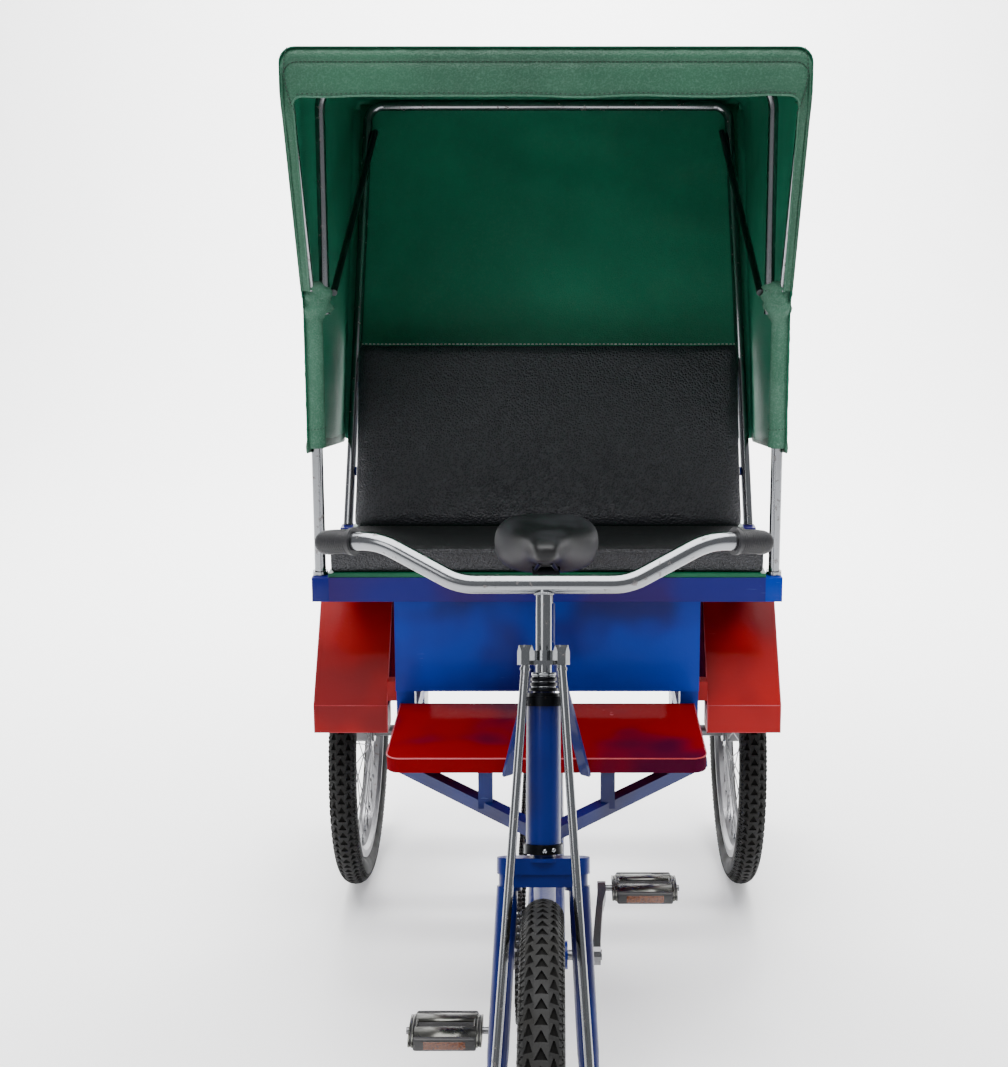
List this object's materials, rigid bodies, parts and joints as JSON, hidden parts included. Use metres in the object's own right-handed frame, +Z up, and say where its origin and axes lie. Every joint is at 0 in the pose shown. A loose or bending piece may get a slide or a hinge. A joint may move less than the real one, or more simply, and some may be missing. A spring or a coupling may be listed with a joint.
{
  "type": "cycle rickshaw",
  "caption": "Pedal tricycle for passengers: steered front wheel, saddle and cranks, footboard, padded bench seat and cloth hood over two rear wheels.",
  "frame": {"origin": "on the ground, at the middle of the bounding box's base", "axes": "+Y towards the rear, +X to the left side of the vehicle, which is the viewer's right in a front view, +Z up"},
  "size_m": [0.934, 2.2289, 1.8118],
  "materials": {
    "blue_paint": "gloss enamel",
    "red_paint": "gloss enamel",
    "green_paint": "enamel",
    "chrome": "bright plated",
    "steel": "satin",
    "black_steel": "blackened",
    "tyre": "matt",
    "rubber": "matt",
    "vinyl": "grained",
    "saddle_cover": "smooth",
    "hood_cloth": "coated cloth"
  },
  "bodies": {
    "frame": {"apron": "blue_paint", "axle_hanger_left": "blue_paint", "axle_hanger_right": "blue_paint", "back_bars": "steel", "backrest": "vinyl", "chain": "black_steel", "chassis_left": "blue_paint", "chassis_right": "blue_paint", "cross_members": "blue_paint", "flat_stays": "blue_paint", "footboard": "red_paint", "frame_arms": "blue_paint", "front_bow": "black_steel", "front_posts": "chrome", "headset_lower": "black_steel", "headset_upper": "black_steel", "hood_braces": "black_steel", "hood_cover": "hood_cloth", "hood_knuckles": "steel", "lock_nut": "chrome", "lower_stays": "blue_paint", "main_frame": "blue_paint", "middle_bow": "chrome", "mudguard_brackets": "blue_paint", "mudguard_left": "red_paint", "mudguard_right": "red_paint", "rear_hoop": "chrome", "saddle": "saddle_cover", "saddle_springs": "black_steel", "seat_board": "green_paint", "seat_cushion": "vinyl", "seat_frame": "blue_paint", "seat_post": "chrome"},
    "fork": {"fork": "blue_paint", "front_axle": "steel", "truss_stays": "chrome", "stay_clip": "chrome", "handlebar": "chrome", "grip_left": "rubber", "grip_right": "rubber"},
    "front_wheel": {"front_tyre": "tyre", "front_rim": "chrome", "front_hub_and_spokes": "chrome"},
    "rear_wheel_left": {"rear_left_tyre": "tyre", "rear_left_rim": "chrome", "rear_left_hub_and_spokes": "chrome"},
    "rear_wheel_right": {"rear_right_tyre": "tyre", "rear_right_rim": "chrome", "rear_right_hub_and_spokes": "chrome", "rear_axle": "steel", "sprocket": "steel"},
    "cranks": {"cranks": "steel"},
    "pedal_left": {"pedal_left": "steel"},
    "pedal_right": {"pedal_right": "steel"}
  },
  "joints": [
    {"name": "steering", "type": "hinge", "parent": "frame", "child": "fork", "pos_m": [0, -0.7255, 0.334], "axis": [0, 0.342, 0.9397], "range_deg": [-45, 45]},
    {"name": "front_wheel_spin", "type": "hinge", "parent": "fork", "child": "front_wheel", "pos_m": [0, -0.7805, 0.334], "axis": [1, 0, 0], "continuous": true},
    {"name": "rear_left_spin", "type": "hinge", "parent": "frame", "child": "rear_wheel_left", "pos_m": [0.426, 0.7195, 0.334], "axis": [1, 0, 0], "continuous": true},
    {"name": "rear_right_spin", "type": "hinge", "parent": "frame", "child": "rear_wheel_right", "pos_m": [0, 0.7195, 0.334], "axis": [1, 0, 0], "continuous": true},
    {"name": "crank_spin", "type": "hinge", "parent": "frame", "child": "cranks", "pos_m": [0, -0.1835, 0.295], "axis": [1, 0, 0], "continuous": true},
    {"name": "pedal_left_spin", "type": "hinge", "parent": "cranks", "child": "pedal_left", "pos_m": [0.15, -0.01948, 0.33136], "axis": [1, 0, 0], "continuous": true},
    {"name": "pedal_right_spin", "type": "hinge", "parent": "cranks", "child": "pedal_right", "pos_m": [-0.15, -0.34752, 0.25864], "axis": [1, 0, 0], "continuous": true}
  ]
}
